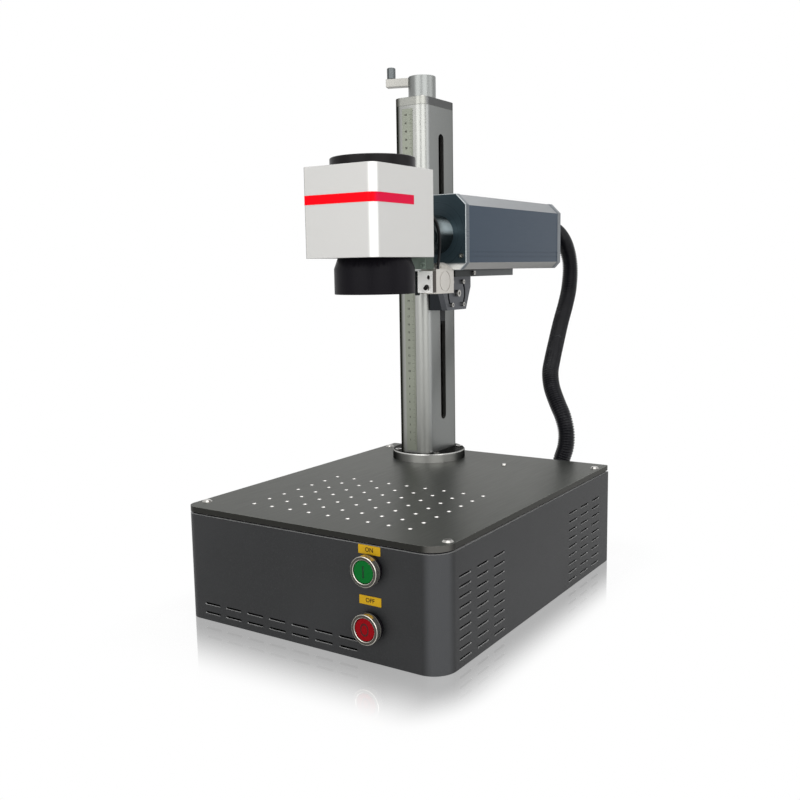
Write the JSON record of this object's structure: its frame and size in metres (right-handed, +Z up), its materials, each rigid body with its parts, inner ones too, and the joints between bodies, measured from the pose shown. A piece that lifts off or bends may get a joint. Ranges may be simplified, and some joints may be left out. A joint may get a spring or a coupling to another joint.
{
  "type": "laser marking machine",
  "caption": "Bench laser marking machine: vented cabinet with a tapped work plate, a column with a hand crank, and a laser tube with scan head joined to the cabinet by a ribbed hose.",
  "frame": {"origin": "centre of the cabinet's footprint, on the underside of its bottom pan", "axes": "+Z up; -Y towards the front with the two push buttons; +X towards the right-hand side with the laser tube's free side"},
  "size_m": [0.322, 0.6338, 0.6271],
  "materials": {
    "cabinet_coat": "fine textured dark charcoal powder coat",
    "inner_steel": "plain zinc-coated sheet",
    "seal_rubber": "matt black",
    "plate_anodised": "satin dark anodised",
    "bright_steel": "bright machined",
    "tag_yellow": "satin yellow",
    "black_plastic": "satin black",
    "green_plastic": "gloss green",
    "red_plastic": "gloss red",
    "source_metal": "satin grey",
    "board_green": "green solder mask",
    "column_anodised": "satin silver anodised",
    "strip_metal": "pale etched scale",
    "guide_plastic": "dark bearing plastic",
    "black_metal": "satin black anodised",
    "dark_metal": "satin dark grey anodised",
    "tube_metal": "satin blue-grey anodised",
    "end_metal": "satin grey anodised",
    "locator_metal": "bright satin",
    "hose_black": "gloss black",
    "head_paint": "smooth light warm grey",
    "stripe_red": "gloss red",
    "lens_coated_glass": "coated",
    "scan_mirror": "polished"
  },
  "bodies": {
    "base": {"cabinet_shell": "cabinet_coat", "bottom_pan": "inner_steel", "rear_panel": "cabinet_coat", "plate_seal": "seal_rubber", "top_plate": "plate_anodised", "plate_screws": "bright_steel", "panel_screws": "bright_steel", "button_tags": "tag_yellow", "button_rings": "bright_steel", "switch_blocks": "black_plastic", "laser_source": "source_metal", "power_supply": "inner_steel", "control_board": "board_green", "fan_frame": "black_plastic", "power_inlet": "black_plastic", "signal_port": "bright_steel", "hose_elbow": "black_plastic", "column_flange": "column_anodised", "column_screws": "bright_steel", "column": "column_anodised", "column_cap": "column_anodised", "scale_strip": "strip_metal", "lower_bearing": "source_metal", "hose_lower": "hose_black"},
    "fan": {"fan_rotor": "black_plastic"},
    "green_button": {"green_cap": "green_plastic"},
    "red_button": {"red_cap": "red_plastic"},
    "crank": {"lead_screw": "bright_steel", "crank_hub": "bright_steel", "crank_arm": "bright_steel"},
    "knob": {"crank_knob": "dark_metal"},
    "carriage": {"lift_nut": "guide_plastic", "carriage_block": "black_metal", "pivot_screw": "bright_steel"},
    "optic": {"rotary_plate": "dark_metal", "rotary_screws": "bright_steel", "tube_mount": "dark_metal", "tube_body": "tube_metal", "tube_front_plate": "black_metal", "tube_rear_plate": "end_metal", "tube_screws": "bright_steel", "isolator": "source_metal", "hose_gland": "black_plastic", "hose_upper": "hose_black", "beam_adapter": "black_metal", "locator_mount": "black_metal", "locator_block": "locator_metal", "pointer_lead": "black_plastic", "head_housing": "head_paint", "head_base": "black_metal", "red_stripe": "stripe_red", "galvo_mount": "source_metal", "galvo_motors": "black_metal", "lens_barrel": "black_metal", "lens_glass": "lens_coated_glass"},
    "pointer": {"pointer_clamp": "locator_metal", "pointer_barrel": "dark_metal"},
    "mirror_a": {"mirror_x": "scan_mirror"},
    "mirror_b": {"mirror_y": "scan_mirror"},
    "cap": {"lens_cap": "black_plastic"}
  },
  "joints": [
    {"name": "crank_turn", "type": "hinge", "parent": "base", "child": "crank", "pos_m": [-0.0726, 0.15, 0.6], "axis": [0, 0, 1], "range_deg": [-7921, 7921], "deforming": ["hose_lower"]},
    {"name": "head_lift", "type": "slide", "parent": "base", "child": "carriage", "axis": [0, 0, 1], "range_m": [-0.11, 0.11], "deforming": ["hose_lower"]},
    {"name": "knob_spin", "type": "hinge", "parent": "crank", "child": "knob", "pos_m": [-0.11019, 0.13632, 0.62], "axis": [0, 0, 1], "continuous": true},
    {"name": "tube_tilt", "type": "hinge", "parent": "carriage", "child": "optic", "pos_m": [-0.03, 0.1404, 0.341], "axis": [1, 0, 0], "range_deg": [-10, 10], "deforming": ["hose_upper"]},
    {"name": "green_press", "type": "slide", "parent": "base", "child": "green_button", "axis": [0, 1, 0], "range_m": [0, 0.003], "stiffness_N_per_m": 600},
    {"name": "red_press", "type": "slide", "parent": "base", "child": "red_button", "axis": [0, 1, 0], "range_m": [0, 0.003], "stiffness_N_per_m": 600},
    {"name": "pointer_swivel", "type": "hinge", "parent": "optic", "child": "pointer", "pos_m": [0.015, 0.016, 0.35], "axis": [0, 1, 0], "range_deg": [-5, 5]},
    {"name": "scan_x", "type": "hinge", "parent": "optic", "child": "mirror_a", "pos_m": [0.014, -0.07, 0.418], "axis": [0, 0, 1], "range_deg": [-10, 10]},
    {"name": "scan_y", "type": "hinge", "parent": "optic", "child": "mirror_b", "pos_m": [0, -0.07, 0.418], "axis": [0, 1, 0], "range_deg": [-10, 10]},
    {"name": "cap_lift", "type": "slide", "parent": "optic", "child": "cap", "axis": [0, 0, 1], "range_m": [0, 0.05]},
    {"name": "fan_spin", "type": "hinge", "parent": "base", "child": "fan", "pos_m": [-0.101, 0.19, 0.058], "axis": [0, 1, 0], "continuous": true}
  ],
  "couplings": [
    {"joint": "crank_turn", "follows": "head_lift", "rad_per_m": -1256.6}
  ]
}
